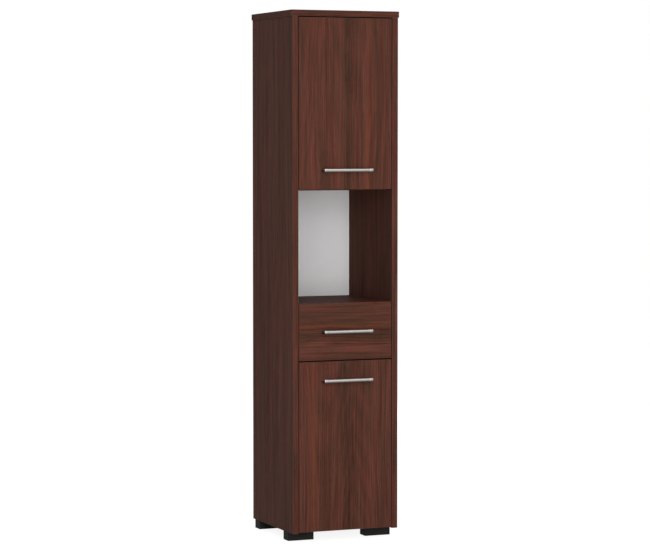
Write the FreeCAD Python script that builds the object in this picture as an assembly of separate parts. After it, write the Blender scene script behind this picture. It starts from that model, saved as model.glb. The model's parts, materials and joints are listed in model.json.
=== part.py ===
import FreeCAD, Part
import math
import os

# Tall bathroom cabinet: two inset doors, a drawer and an open niche in a case of laminated
# boards. Millimetres; +Z up, the fronts face -Y, +X is to the right of someone facing it.
# The origin is on the floor, below the middle of the whole cabinet with its handles.

# ---------------------------------------------------------------- driving dimensions
# Case
cabinet_height = 1400.0        # floor to the top face
case_width = 300.0             # over the two side panels
case_depth = 300.0             # front faces to the outside of the back panel
board = 16.0                   # laminated board
hardboard = 3.0                # back panel and drawer bottom
top_overhang = 3.0             # top panel beyond each side panel
edge_radius = 0.5              # rounded edges of every board
back_inset = 1.0               # back panel inside the outline of the case
back_lap = 8.0                 # back panel over the rear edge of the top panel

# Fronts, from the bottom up
bottom_gap = 3.0               # below the lower door
lower_door_height = 450.0
front_gap = 4.0                # between the lower door and the drawer front
drawer_front_height = 150.0
niche_height = 297.0           # clear height of the open niche
shelf_edge_showing = 3.0       # niche ceiling seen below the upper door
top_gap = 3.0                  # above the upper door
side_gap = 2.5                 # each side of the fronts
niche_floor_gap = 1.0          # drawer front to the front edge of the niche floor

# Adjustable shelves, each in the middle of its compartment, and their pins
loose_shelf_setback = 30.0
loose_shelf_play = 0.5         # at each end
loose_shelf_back_play = 3.0
pin_front = 60.0               # pin column behind the front plane
pin_back = 45.0                # pin column in front of the back panel
pin_pitch = 32.0               # spare holes above and below each pin
pin_radius = 2.45
pin_peg = 9.0                  # length in the side panel
pin_barrel_radius = 3.5
pin_barrel = 9.0               # length below the shelf
pin_flat = 1.0                 # flat seat above the pin's axis

# Fits
press_play = 0.05              # radial play of a fixed fastener in its hole
running_play = 0.05            # radial play of a turning piece on its axle
hole_end_play = 0.5            # beyond the end of a fastener
pass_play = 0.3                # radial play of a screw in the piece that it holds

# Bar handles
handle_centres = 128.0         # between the screws
handle_post = 10.0             # width of each post
handle_post_height = 8.8
handle_bar_height = 8.0
handle_bar_depth = 8.6
handle_reach = 25.0            # posts in front of the door
handle_bar_recess = 0.4        # bar behind the posts' front faces
handle_round = 1.1
door_handle_inset = 50.0       # handle to the nearer end of its door
machine_screw_radius = 1.95
machine_screw_grip = 9.0       # length in the post
machine_head_radius = 3.8
machine_head_height = 2.2

# Concealed hinges, on the right. "in" is measured from the door's hinge edge towards its
# middle, "deep" from the front face backwards, and heights from the hinge's middle.
hinge_inset = 90.0             # hinge to the nearer end of its door
door_opening = 105.0           # degrees
sweep_clearance = 0.6          # fixed hinge parts to the door's turning corner
shelf_clearance = 1.6          # fixed shelves to the door's turning corner
pin_in = 10.5                  # hinge axis
pin_deep = 7.0
hinge_pin_radius = 1.25
hinge_pin_bite = 4.3           # pin in each lug
lug_gap = 0.7                  # arm to lug
lug_thickness = 5.0
lug_margin = 3.0               # lug round the pin
cup_centre_in = 22.0
cup_radius = 17.5
cup_play = 0.1                 # cup in its bore
cup_depth = 12.5
cup_wall = 0.8
cup_flange = 1.2
ear_reach = 29.0
ear_in = 15.0
ear_width = 18.0
ear_screw_rise = 24.0
ear_screw_bite = 9.0
eye_radius = 2.3
arm_half = 5.5
arm_strip = 2.0                # thickness of the arm's neck
arm_end = 66.0
channel_wall = 1.5
channel_play = 0.3             # arm round the plate's rail
channel_lift = 0.5             # arm's flanges above the plate
plate_base = 2.0
plate_start = 30.0
plate_end = 62.0
plate_half = 9.0
wing_half = 24.0
wing_deep = 37.0
wing_width = 10.0
wing_screw_rise = 16.0
rail_half = 4.0
rail_height = 3.9
rail_margin = 1.0
clamp_screw_deep = 52.0
small_screw_radius = 1.8
small_screw_bite = 11.0        # in the side panel
small_head_radius = 3.2
small_head_height = 1.0

# Drawer box
drawer_board = 12.0
drawer_length = 250.0
drawer_floor_gap = 9.0         # drawer sides above the divider
drawer_headroom = 9.0          # and below the niche floor
drawer_bottom_rise = 8.0       # hardboard above the lower edge of the sides
groove_depth = 5.0
groove_play = 0.2
corner_screw_rise = 40.0       # lower screw above the lower edge of the drawer side
corner_screw_drop = 25.0       # upper screw below its upper edge
corner_screw_length = 34.0
corner_screw_radius = 1.8
corner_head_radius = 3.4
corner_head_height = 2.0

# Roller runners. "off" is measured from the inner face of the side panel inwards.
runner_gap = 12.5              # side panel to drawer side
runner_length = 250.0
runner_sheet = 1.2
runner_setback = 2.0           # behind the drawer front
runner_rise = 2.0              # channel floor above the lower edge of the drawer side
runner_play = 0.8              # between the two runners of a side
under_flange = 14.0            # flange below the drawer side
drawer_travel = 190.0
stop_lip = 6.0
roller_radius = 9.0
roller_width = 6.5
roller_clearance = 0.3         # roller to the track that it runs on
roller_head_room = 0.7         # roller to the roof of the channel
roller_inset = 12.0            # roller centre from the end of its runner
axle_radius = 2.5
axle_head_radius = 4.0
axle_head = 0.7
axle_shoulder = 0.9
runner_screw_offsets = (40.0, 125.0, 215.0)
drawer_screw_offsets = (60.0, 190.0)

# Cam joints between boards
cam_reach = 24.0               # cam centre from the joint
cam_radius = 7.4
cam_height = 12.2
cam_play = 0.1
cam_slot_width = 1.6
cam_slot_length = 9.0
cam_slot_depth = 1.5
bolt_thread_radius = 3.0
bolt_thread_length = 11.0
bolt_shank_radius = 2.5
bolt_neck_radius = 1.6
bolt_neck_length = 3.0
bolt_head_radius = 3.3
bolt_head_length = 3.0
bolt_play = 0.5                # bolt head in the mouth of the cam
bolt_channel_play = 1.5        # bolt shank in the board
dowel_radius = 3.95
dowel_short = 10.0             # in the face of the mating board
dowel_long = 20.0              # in the end of the held board
cam_front = 50.0               # cams and dowels behind the front plane
dowel_front = 85.0
dowel_back = 75.0              # and in front of the back panel
cam_back = 40.0

# Cam joints of the drawer front
drawer_cam_radius = 5.9
drawer_cam_height = 9.3
drawer_cam_drop = 45.0         # below the upper edge of the drawer side
drawer_dowel_radius = 2.95
drawer_dowel_rise = 32.0       # lower dowel above the lower edge
drawer_dowel_drop = 15.0       # upper dowel below the upper edge
drawer_dowel_short = 9.0
drawer_dowel_long = 18.0

# Back panel nails
nail_radius = 0.7
nail_length = 20.0
nail_head_radius = 1.8
nail_head = 0.8
nail_end = 32.0                # first and last nail from the ends of the side panel
nail_pitch = 190.0
nail_spread = 62.0             # nails in the shelves, from the middle
nail_top_inset = 4.0           # below the top edge of the back panel

# Feet
foot_height = 24.0
foot_width = 73.0
foot_depth = 38.0
foot_side_inset = 3.0
foot_front_inset = 41.0
foot_back_inset = 8.0
foot_wall = 2.5
foot_sole = 3.0
foot_corner = 3.0
foot_screw_spacing = 26.0
foot_boss_wall = 1.2
foot_recess_play = 0.4
foot_recess_depth = 12.0
foot_screw_bite = 12.0         # in the bottom panel

# ---------------------------------------------------------------- levels and planes
half_case = case_width / 2
half_inside = half_case - board
half_front = half_inside - side_gap
front_y = handle_reach - (case_depth + handle_reach) / 2
back_y = front_y + case_depth
rear_edge_y = back_y - hardboard
front_back_y = front_y + board                     # back face of doors and drawer front

# Reach of the door's rear corner as it turns about the hinge axis
corner_sweep = pin_deep + math.hypot(pin_in, board - pin_deep)
open_angle = math.radians(door_opening)
corner_open = pin_in - pin_in * math.cos(open_angle) + (board - pin_deep) * math.sin(open_angle)
neck_in = corner_open + sweep_clearance
neck_deep = corner_sweep + sweep_clearance
shelf_y = front_y + corner_sweep + shelf_clearance
wall_in = -side_gap                                # inner face of the side panel
plate_face = wall_in + plate_base
lug_inner = arm_half + lug_gap
hinge_pin_half = lug_inner + hinge_pin_bite

case_bottom = foot_height
case_top = cabinet_height - board
bottom_top = case_bottom + board
lower_door_bottom = case_bottom + bottom_gap
lower_door_top = lower_door_bottom + lower_door_height
drawer_front_bottom = lower_door_top + front_gap
drawer_front_top = drawer_front_bottom + drawer_front_height
divider_bottom = lower_door_top + front_gap / 2 - board / 2
divider_top = divider_bottom + board
niche_floor_bottom = drawer_front_top - board
niche_ceiling_bottom = drawer_front_top + niche_height
niche_ceiling_top = niche_ceiling_bottom + board
upper_door_bottom = niche_ceiling_bottom + shelf_edge_showing
upper_door_top = case_top - top_gap
upper_shelf_bottom = (niche_ceiling_top + case_top - board) / 2
lower_shelf_bottom = (bottom_top + divider_bottom - board) / 2

drawer_bottom_edge = divider_top + drawer_floor_gap
drawer_top_edge = niche_floor_bottom - drawer_headroom
drawer_panel_bottom = drawer_bottom_edge + drawer_bottom_rise
drawer_panel_top = drawer_panel_bottom + hardboard
drawer_back_y = front_back_y + drawer_length
drawer_outer = half_inside - runner_gap
drawer_inner = drawer_outer - drawer_board

track_floor = drawer_bottom_edge + runner_rise
track_roof = track_floor + 2 * roller_radius + roller_clearance + roller_head_room
track_flange = track_roof + runner_sheet + roller_clearance
track_y0 = front_back_y + runner_setback
track_y1 = track_y0 + runner_length
front_roller_y = track_y0 + roller_inset
front_roller_z = track_flange - roller_clearance - roller_radius
rear_roller_y = drawer_back_y - roller_inset
rear_roller_z = track_floor + roller_clearance + roller_radius
moving_off = runner_gap - runner_sheet             # outer face of the drawer's runner

JOINT_Y = (("cam", front_y + cam_front), ("dowel", front_y + dowel_front),
           ("dowel", rear_edge_y - dowel_back), ("cam", rear_edge_y - cam_back))
SIDE_NAMES = {-1: "left", 1: "right"}

solids = {}                    # node name -> its body before drilling
holes = {}                     # node name -> the tools that are cut from it
groups = {}                    # node name -> separate solids that share the node


# ---------------------------------------------------------------- small helpers
def box(x0, x1, y0, y1, z0, z1):
    """A block between two values on each axis, in either order."""
    low = FreeCAD.Vector(min(x0, x1), min(y0, y1), min(z0, z1))
    return Part.makeBox(abs(x1 - x0), abs(y1 - y0), abs(z1 - z0), low)


def soft_box(x0, x1, y0, y1, z0, z1, radius=edge_radius):
    """A block with every edge rounded."""
    block = box(x0, x1, y0, y1, z0, z1)
    return block.makeFillet(radius, block.Edges)


def rod(start, direction, length, radius):
    """A round bar that starts at a point and runs along a direction."""
    return Part.makeCylinder(radius, length, FreeCAD.Vector(*start), FreeCAD.Vector(*direction))


def ring(start, direction, length, radius, bore_radius):
    """A round bar with a bore through it."""
    return rod(start, direction, length, radius).cut(rod(start, direction, length, bore_radius))


def stepped_rod(start, direction, steps):
    """A turned piece: (length, radius) steps one after the other."""
    piece = None
    for length, radius in steps:
        part = rod(start, direction, length, radius)
        piece = part if piece is None else piece.fuse(part)
        start = along(start, direction, length)
    return piece.removeSplitter()


def along(point, direction, distance):
    """The point that lies a distance further along a direction."""
    return tuple(p + d * distance for p, d in zip(point, direction))


def drill(name, *tools):
    """Keep tools that are cut from a node when it is finished."""
    holes.setdefault(name, []).extend(tools)


def group(name, *pieces):
    """Add separate solids to a node of like pieces."""
    groups.setdefault(name, []).extend(pieces)


# ---------------------------------------------------------------- fasteners
def cam_joint(joint, into, face, thickness, mate, held, names, radius, height):
    """A cam lock and its bolt. The joint is a point on the mating face, into points into
    the held board, and face points out of the board's face where the cam is set."""
    locks, bolts = names
    back = tuple(-d for d in into)
    inward = tuple(-d for d in face)
    centre = along(along(joint, into, cam_reach), face, thickness / 2)
    mouth_start = along(joint, into, cam_reach - radius - hole_end_play)
    mouth = rod(mouth_start, into, radius + hole_end_play + bolt_head_length,
                bolt_head_radius + bolt_play)
    lock = rod(centre, inward, height, radius).cut([mouth, cross_slot(centre, into, face)])
    group(locks, max(lock.Solids, key=lambda piece: piece.Volume))
    shank = cam_reach - bolt_neck_length - bolt_head_length / 2
    group(bolts, stepped_rod(along(joint, back, bolt_thread_length), into,
                             ((bolt_thread_length, bolt_thread_radius),
                              (shank, bolt_shank_radius),
                              (bolt_neck_length, bolt_neck_radius),
                              (bolt_head_length, bolt_head_radius))))
    drill(mate, rod(joint, back, bolt_thread_length + hole_end_play,
                    bolt_thread_radius + press_play))
    drill(held, rod(centre, inward, height + cam_play, radius + cam_play),
          rod(joint, into, cam_reach, bolt_shank_radius + bolt_channel_play))


def cross_slot(centre, into, face):
    """The driver slot in the face of a cam lock."""
    half = []
    for along_bolt, along_axis in zip(into, face):
        if along_axis:
            half.append(cam_slot_depth)
        elif along_bolt:
            half.append(cam_slot_length / 2)
        else:
            half.append(cam_slot_width / 2)
    (x, y, z), (hx, hy, hz) = centre, half
    return box(x - hx, x + hx, y - hy, y + hy, z - hz, z + hz)


def dowel_joint(joint, into, mate, held, name, radius, short, long):
    """A wooden dowel across a joint."""
    back = tuple(-d for d in into)
    group(name, rod(along(joint, back, short), into, short + long, radius))
    drill(mate, rod(joint, back, short + hole_end_play, radius + press_play))
    drill(held, rod(joint, into, long + hole_end_play, radius + press_play))


def screw(name, seat, inward, length, radius, head_radius, head_height, bites, passes):
    """A screw whose head rests on a seat; it bites into some nodes and passes others."""
    out = tuple(-d for d in inward)
    group(name, stepped_rod(along(seat, out, head_height), inward,
                            ((head_height, head_radius), (length, radius))))
    for node in bites:
        drill(node, rod(seat, inward, length + hole_end_play, radius + press_play))
    for node in passes:
        drill(node, rod(seat, inward, length, radius + pass_play))


def small_screw(name, seat, inward, length, bites, passes):
    """A screw of the small hardware."""
    screw(name, seat, inward, length, small_screw_radius, small_head_radius,
          small_head_height, bites, passes)


def nail(x, z, board_name):
    """A flat-headed nail through the back panel into the edge of a board."""
    inward = (0, -1, 0)
    outside = (x, back_y, z)
    group("back_nails", stepped_rod(outside, inward, ((nail_head, nail_head_radius),
                                                      (nail_length - nail_head, nail_radius))))
    drill("back_panel", rod(outside, inward, nail_head, nail_head_radius + press_play),
          rod(outside, inward, hardboard, nail_radius + press_play))
    drill(board_name, rod((x, rear_edge_y, z), inward, nail_length - hardboard + hole_end_play,
                          nail_radius + press_play))


# ---------------------------------------------------------------- case
def make_case():
    """Side panels, top panel, fixed shelves and back panel, with their joints."""
    for side, word in SIDE_NAMES.items():
        solids[word + "_side_panel"] = soft_box(side * half_inside, side * half_case,
                                                front_y, rear_edge_y, case_bottom, case_top)
    reach = half_case + top_overhang
    solids["top_panel"] = soft_box(-reach, reach, front_y, rear_edge_y, case_top, cabinet_height)
    for side, word in SIDE_NAMES.items():
        join_board(side * (half_inside + board / 2), case_top, (0, 0, -1), (-side, 0, 0),
                   "top_panel", word + "_side_panel")
    niche_floor_y = front_back_y + niche_floor_gap
    shelves = (("bottom_panel", case_bottom, shelf_y, -1),
               ("drawer_divider", divider_bottom, shelf_y, -1),
               ("niche_floor", niche_floor_bottom, niche_floor_y, -1),
               ("niche_ceiling", niche_ceiling_bottom, shelf_y, 1))
    for name, low, y, cam_face in shelves:
        solids[name] = soft_box(-half_inside, half_inside, y, rear_edge_y, low, low + board)
        for side, word in SIDE_NAMES.items():
            join_board(side * half_inside, low + board / 2, (-side, 0, 0), (0, 0, cam_face),
                       word + "_side_panel", name)
        for x in (-nail_spread, nail_spread):
            nail(x, low + board / 2, name)
    make_back()


def join_board(x, z, into, face, mate, held):
    """The row of cams and dowels along one end of a board."""
    for kind, y in JOINT_Y:
        if kind == "cam":
            cam_joint((x, y, z), into, face, board, mate, held, ("cam_locks", "cam_bolts"),
                      cam_radius, cam_height)
        else:
            dowel_joint((x, y, z), into, mate, held, "wood_dowels", dowel_radius,
                        dowel_short, dowel_long)


def make_back():
    """The hardboard back, nailed to the top panel and down both side panels."""
    half = half_case - back_inset
    solids["back_panel"] = box(-half, half, rear_edge_y, back_y, case_bottom + back_inset,
                               case_top + back_lap)
    for x in (-nail_spread, nail_spread):
        nail(x, case_top + back_lap - nail_top_inset, "top_panel")
    run = case_top - case_bottom - 2 * nail_end
    count = max(1, math.ceil(run / nail_pitch))
    for side, word in SIDE_NAMES.items():
        for step in range(count + 1):
            nail(side * (half_inside + board / 2), case_bottom + nail_end + step * run / count,
                 word + "_side_panel")


# ---------------------------------------------------------------- adjustable shelves
def make_loose_shelves():
    """Two shelves on pins, with a spare row of holes above and below each pin."""
    half = half_inside - loose_shelf_play
    rear = rear_edge_y - loose_shelf_back_play
    for name, low in (("upper_shelf", upper_shelf_bottom), ("lower_shelf", lower_shelf_bottom)):
        solids[name] = soft_box(-half, half, front_y + loose_shelf_setback, rear, low, low + board)
        for side, word in SIDE_NAMES.items():
            for y in (front_y + pin_front, rear_edge_y - pin_back):
                shelf_pin(side, y, low)
                for step in (-1, 0, 1):
                    start = (side * half_inside, y, low - pin_flat + step * pin_pitch)
                    drill(word + "_side_panel", rod(start, (side, 0, 0), pin_peg + hole_end_play,
                                                    pin_radius + press_play))


def shelf_pin(side, y, seat):
    """A peg in the side panel with a flat-topped barrel below the shelf."""
    x = side * half_inside
    axis_z = seat - pin_flat
    peg = rod((x, y, axis_z), (side, 0, 0), pin_peg, pin_radius)
    barrel = rod((x, y, axis_z), (-side, 0, 0), pin_barrel, pin_barrel_radius)
    above = box(x, x - side * pin_barrel, y - pin_barrel_radius, y + pin_barrel_radius,
                seat, seat + pin_barrel_radius)
    group("shelf_pins", peg.fuse(barrel.cut(above)))


# ---------------------------------------------------------------- handles
def make_handle(name, screws, front, z):
    """A bridge handle with two posts, screwed on through its front from behind."""
    half = handle_centres / 2
    bar_front = front_y - handle_reach + handle_bar_recess
    handle = soft_box(-half, half, bar_front, bar_front + handle_bar_depth,
                      z - handle_bar_height / 2, z + handle_bar_height / 2, handle_round)
    for x in (-half, half):
        post = box(x - handle_post / 2, x + handle_post / 2, front_y - handle_reach, front_y,
                   z - handle_post_height / 2, z + handle_post_height / 2)
        rounded = [edge for edge in post.Edges if edge.BoundBox.YMin < front_y - edge_radius]
        handle = handle.fuse(post.makeFillet(handle_round, rounded))
        screw(screws, (x, front_back_y, z), (0, -1, 0), board + machine_screw_grip,
              machine_screw_radius, machine_head_radius, machine_head_height, (), (front,))
        drill(name, rod((x, front_y, z), (0, -1, 0), machine_screw_grip + hole_end_play,
                        machine_screw_radius + press_play))
    solids[name] = handle.removeSplitter()


# ---------------------------------------------------------------- hinges
def at_hinge(inward, deep, z):
    """A point given from the door's hinge edge and front face."""
    return (half_front - inward, front_y + deep, z)


def hinge_box(in0, in1, deep0, deep1, z0, z1):
    """A block given from the door's hinge edge and front face."""
    return box(half_front - in0, half_front - in1, front_y + deep0, front_y + deep1, z0, z1)


def make_cup(label, door, z):
    """The pressed cup in the door's back, with two lugs that hold the hinge pin."""
    name = label + "_hinge_cup"
    mouth = at_hinge(cup_centre_in, board, z)
    shell = rod(mouth, (0, -1, 0), cup_depth, cup_radius)
    rim = rod(mouth, (0, 1, 0), cup_flange, cup_radius)
    ears = hinge_box(ear_in, ear_in + ear_width, board, board + cup_flange,
                     z - ear_reach, z + ear_reach)
    bowl = rod(at_hinge(cup_centre_in, board + cup_flange, z), (0, -1, 0),
               cup_flange + cup_depth - cup_wall, cup_radius - cup_wall)
    cup = shell.fuse([rim, ears]).cut(bowl)
    for up in (-1, 1):
        lug = hinge_box(pin_in - lug_margin, pin_in + lug_margin, board - cup_depth + cup_wall,
                        pin_deep + lug_margin, z + up * lug_inner,
                        z + up * (lug_inner + lug_thickness))
        cup = cup.fuse(lug.common(shell))
        seat = at_hinge(ear_in + ear_width / 2, board + cup_flange, z + up * ear_screw_rise)
        small_screw(door + "_cup_screws", seat, (0, -1, 0), cup_flange + ear_screw_bite,
                    (door + "_panel",), (name,))
    solids[name] = cup.removeSplitter()
    pin_start = at_hinge(pin_in, pin_deep, z - hinge_pin_half)
    drill(name, rod(pin_start, (0, 0, 1), 2 * hinge_pin_half, hinge_pin_radius + press_play))
    group(door + "_hinge_pins", rod(pin_start, (0, 0, 1), 2 * hinge_pin_half, hinge_pin_radius))
    drill(door + "_panel", rod(mouth, (0, -1, 0), cup_depth + cup_play, cup_radius + cup_play))


def make_arm(label, z):
    """The swan-neck arm: an eye on the pin, a neck round the door's edge and a channel."""
    low, high = z - arm_half, z + arm_half
    floor = pin_deep - eye_radius + running_play
    rise = neck_in + arm_strip
    eye = rod(at_hinge(pin_in, pin_deep, low), (0, 0, 1), 2 * arm_half, eye_radius)
    first = hinge_box(pin_in, rise, floor, floor + arm_strip, low, high)
    second = hinge_box(neck_in, rise, floor, neck_deep + arm_strip, low, high)
    flange_in = plate_face + channel_lift
    web_in = plate_face + rail_height + channel_play
    third = hinge_box(flange_in, rise, neck_deep, neck_deep + arm_strip, low, high)
    inside_half = rail_half + channel_play
    outside_half = inside_half + channel_wall
    channel = hinge_box(flange_in, web_in + channel_wall, neck_deep, arm_end,
                        z - outside_half, z + outside_half)
    inside = hinge_box(flange_in, web_in, neck_deep + arm_strip, arm_end,
                       z - inside_half, z + inside_half)
    arm = eye.fuse([first, second, third, channel]).cut(inside)
    solids[label + "_hinge_arm"] = arm.removeSplitter()
    drill(label + "_hinge_arm", rod(at_hinge(pin_in, pin_deep, low), (0, 0, 1), 2 * arm_half,
                                    hinge_pin_radius + running_play))


def make_plate(label, z):
    """The mounting plate with its rail, two side-panel screws and the clamp screw."""
    name = label + "_hinge_plate"
    base = hinge_box(wall_in, plate_face, plate_start, plate_end, z - plate_half, z + plate_half)
    wings = hinge_box(wall_in, plate_face, wing_deep - wing_width / 2, wing_deep + wing_width / 2,
                      z - wing_half, z + wing_half)
    rail = hinge_box(plate_face, plate_face + rail_height, plate_start + rail_margin,
                     plate_end - rail_margin, z - rail_half, z + rail_half)
    solids[name] = base.fuse([wings, rail]).removeSplitter()
    for up in (-1, 1):
        seat = at_hinge(plate_face, wing_deep, z + up * wing_screw_rise)
        small_screw("side_hardware_screws", seat, (1, 0, 0), plate_base + small_screw_bite,
                    ("right_side_panel",), (name,))
    web_top = rail_height + channel_play + channel_wall
    seat = at_hinge(plate_face + web_top, clamp_screw_deep, z)
    small_screw("side_hardware_screws", seat, (1, 0, 0), web_top, (name,),
                (label + "_hinge_arm",))


# ---------------------------------------------------------------- doors
def make_door(door, bottom, top, handle_z):
    """A door board with its handle and two hinges."""
    panel = door + "_panel"
    solids[panel] = soft_box(-half_front, half_front, front_y, front_back_y, bottom, top)
    make_handle(door + "_handle", door + "_handle_screws", panel, handle_z)
    for word, z in (("top", top - hinge_inset), ("bottom", bottom + hinge_inset)):
        label = door + "_" + word
        make_cup(label, door, z)
        make_arm(label, z)
        make_plate(label, z)


# ---------------------------------------------------------------- drawer
def make_drawer():
    """Drawer front, box, bottom, runners and their fixings."""
    solids["drawer_front"] = soft_box(-half_front, half_front, front_y, front_back_y,
                                      drawer_front_bottom, drawer_front_top)
    make_handle("drawer_handle", "drawer_handle_screws", "drawer_front",
                (drawer_front_bottom + drawer_front_top) / 2)
    groove_half = drawer_inner + groove_depth
    groove_y = front_back_y - groove_depth
    groove = box(-groove_half, groove_half, groove_y, drawer_back_y, drawer_panel_bottom,
                 drawer_panel_top + groove_play)
    drill("drawer_front", groove)
    solids["drawer_bottom"] = box(-groove_half + groove_play, groove_half - groove_play,
                                  groove_y + groove_play, drawer_back_y,
                                  drawer_panel_bottom, drawer_panel_top)
    solids["drawer_back"] = soft_box(-drawer_inner, drawer_inner, drawer_back_y - drawer_board,
                                     drawer_back_y, drawer_panel_top, drawer_top_edge)
    for side, word in SIDE_NAMES.items():
        name = "drawer_" + word + "_side"
        solids[name] = soft_box(side * drawer_inner, side * drawer_outer, front_back_y,
                                drawer_back_y, drawer_bottom_edge, drawer_top_edge)
        drill(name, groove)
        fix_drawer_corners(side, name)
        make_cabinet_runner(side, word)
        make_drawer_runner(side, word)


def fix_drawer_corners(side, name):
    """Cam, dowels and screws that hold one drawer side to the front and the back."""
    x = side * (drawer_inner + drawer_board / 2)
    cam_joint((x, front_back_y, drawer_top_edge - drawer_cam_drop), (0, 1, 0), (-side, 0, 0),
              drawer_board, "drawer_front", name, ("drawer_cam_locks", "drawer_cam_bolts"),
              drawer_cam_radius, drawer_cam_height)
    for z in (drawer_bottom_edge + drawer_dowel_rise, drawer_top_edge - drawer_dowel_drop):
        dowel_joint((x, front_back_y, z), (0, 1, 0), "drawer_front", name, "drawer_dowels",
                    drawer_dowel_radius, drawer_dowel_short, drawer_dowel_long)
    inward = (-side, 0, 0)
    for z in (drawer_bottom_edge + corner_screw_rise, drawer_top_edge - corner_screw_drop):
        face = (side * drawer_outer, drawer_back_y - drawer_board / 2, z)
        screw("drawer_screws", along(face, inward, corner_head_height), inward,
              corner_screw_length, corner_screw_radius, corner_head_radius, corner_head_height,
              (name, "drawer_back"), ())
        drill(name, rod(face, inward, corner_head_height, corner_head_radius + press_play))


def runner_point(side, off, y, z):
    """A point given from the inner face of the side panel."""
    return (side * (half_inside - off), y, z)


def runner_box(side, off0, off1, y0, y1, z0, z1):
    """A block given from the inner face of the side panel."""
    return box(side * (half_inside - off0), side * (half_inside - off1), y0, y1, z0, z1)


def roller_axle(start, direction):
    """A riveted axle from the middle of a runner's sheet, with a shoulder and a head."""
    return stepped_rod(start, direction, ((runner_sheet / 2 + axle_shoulder, axle_head_radius),
                                          (roller_width + 2 * running_play, axle_radius),
                                          (axle_head, axle_head_radius)))


def make_cabinet_runner(side, word):
    """The channel on the side panel: front roller, roof, stop lip and closed rear end."""
    name = "cabinet_" + word + "_runner"
    sheet = runner_sheet
    reach = moving_off - runner_play
    stop_y = rear_roller_y - drawer_travel - roller_radius - roller_clearance - sheet
    web = runner_box(side, 0, sheet, track_y0, track_y1, track_floor - sheet, track_roof + sheet)
    floor = runner_box(side, 0, reach, track_y0, track_y1, track_floor - sheet, track_floor)
    roof = runner_box(side, 0, reach, stop_y, track_y1, track_roof, track_roof + sheet)
    lip = runner_box(side, 0, reach, stop_y, stop_y + sheet, track_roof - stop_lip, track_roof)
    end = runner_box(side, 0, reach, track_y1 - sheet, track_y1, track_floor, track_roof)
    inward = (-side, 0, 0)
    axle = roller_axle(runner_point(side, sheet / 2, front_roller_y, front_roller_z), inward)
    solids[name] = web.fuse([floor, roof, lip, end, axle]).removeSplitter()
    start = runner_point(side, sheet + axle_shoulder + running_play, front_roller_y,
                         front_roller_z)
    group("cabinet_rollers", ring(start, inward, roller_width, roller_radius,
                                  axle_radius + running_play))
    for offset in runner_screw_offsets:
        seat = runner_point(side, sheet, track_y0 + offset, rear_roller_z)
        small_screw("side_hardware_screws", seat, (side, 0, 0), sheet + small_screw_bite,
                    (word + "_side_panel",), (name,))


def make_drawer_runner(side, word):
    """The runner under the drawer side: running flange on top and a roller at the rear."""
    name = "drawer_" + word + "_runner"
    sheet = runner_sheet
    low = drawer_bottom_edge - sheet
    web = runner_box(side, moving_off, runner_gap, front_back_y, drawer_back_y, low,
                     track_flange + sheet)
    under = runner_box(side, moving_off, moving_off + under_flange, front_back_y, drawer_back_y,
                       low, drawer_bottom_edge)
    flange = runner_box(side, sheet + runner_play, runner_gap, front_back_y, drawer_back_y,
                        track_flange, track_flange + sheet)
    outward = (side, 0, 0)
    axle = roller_axle(runner_point(side, runner_gap - sheet / 2, rear_roller_y, rear_roller_z),
                       outward)
    solids[name] = web.fuse([under, flange, axle]).removeSplitter()
    start = runner_point(side, moving_off - axle_shoulder - running_play, rear_roller_y,
                         rear_roller_z)
    group("drawer_rollers", ring(start, outward, roller_width, roller_radius,
                                 axle_radius + running_play))
    for offset in drawer_screw_offsets:
        seat = runner_point(side, moving_off, front_back_y + offset, rear_roller_z)
        small_screw("drawer_screws", seat, (-side, 0, 0), sheet + drawer_board / 2,
                    ("drawer_" + word + "_side",), (name,))


# ---------------------------------------------------------------- feet
def make_feet():
    """Four hollow plastic feet, each held by two screws from below."""
    for end, y0 in (("front", front_y + foot_front_inset),
                    ("rear", back_y - foot_back_inset - foot_depth)):
        for side, word in SIDE_NAMES.items():
            outer_x = side * (half_case - foot_side_inset)
            make_foot(end + "_" + word + "_foot", outer_x, outer_x - side * foot_width, y0)


def make_foot(name, outer_x, inner_x, y0):
    """One foot: a box open at the top, closed by the panels above it."""
    y1 = y0 + foot_depth
    foot = box(outer_x, inner_x, y0, y1, 0, foot_height)
    upright = [edge for edge in foot.Edges if edge.BoundBox.ZLength > foot_height / 2]
    foot = foot.makeFillet(foot_corner, upright)
    low = min(outer_x, inner_x) + foot_wall
    high = max(outer_x, inner_x) - foot_wall
    foot = foot.cut(box(low, high, y0 + foot_wall, y1 - foot_wall, foot_sole, foot_height))
    y = (y0 + y1) / 2
    recess_radius = machine_head_radius + foot_recess_play
    for step in (-0.5, 0.5):
        x = (outer_x + inner_x) / 2 + step * foot_screw_spacing
        up = (0, 0, 1)
        foot = foot.fuse(rod((x, y, 0), up, foot_height, recess_radius + foot_boss_wall))
        foot = foot.cut(rod((x, y, 0), up, foot_recess_depth, recess_radius))
        screw("foot_screws", (x, y, foot_recess_depth), up,
              foot_height - foot_recess_depth + foot_screw_bite, machine_screw_radius,
              machine_head_radius, machine_head_height, ("bottom_panel",), (name,))
    solids[name] = foot.removeSplitter()


# ---------------------------------------------------------------- build and write
def write_parts():
    """Cut every hole and write one file for each node."""
    os.makedirs("parts", exist_ok=True)
    finished = {}
    for name, shape in solids.items():
        tools = holes.get(name, [])
        finished[name] = shape.cut(tools) if tools else shape
    for name, pieces in groups.items():
        finished[name] = Part.makeCompound(pieces)
    for name, shape in sorted(finished.items()):
        shape.exportStep("parts/" + name + ".step")
        print(name, len(shape.Solids), "solids", round(shape.Volume / 1000, 2), "cm3",
              "valid" if shape.isValid() else "NOT VALID")
    print(len(finished), "nodes")


make_case()
make_loose_shelves()
make_door("upper_door", upper_door_bottom, upper_door_top, upper_door_bottom + door_handle_inset)
make_door("lower_door", lower_door_bottom, lower_door_top, lower_door_top - door_handle_inset)
make_drawer()
make_feet()
write_parts()
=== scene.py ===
import json
import math
from collections import namedtuple

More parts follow.
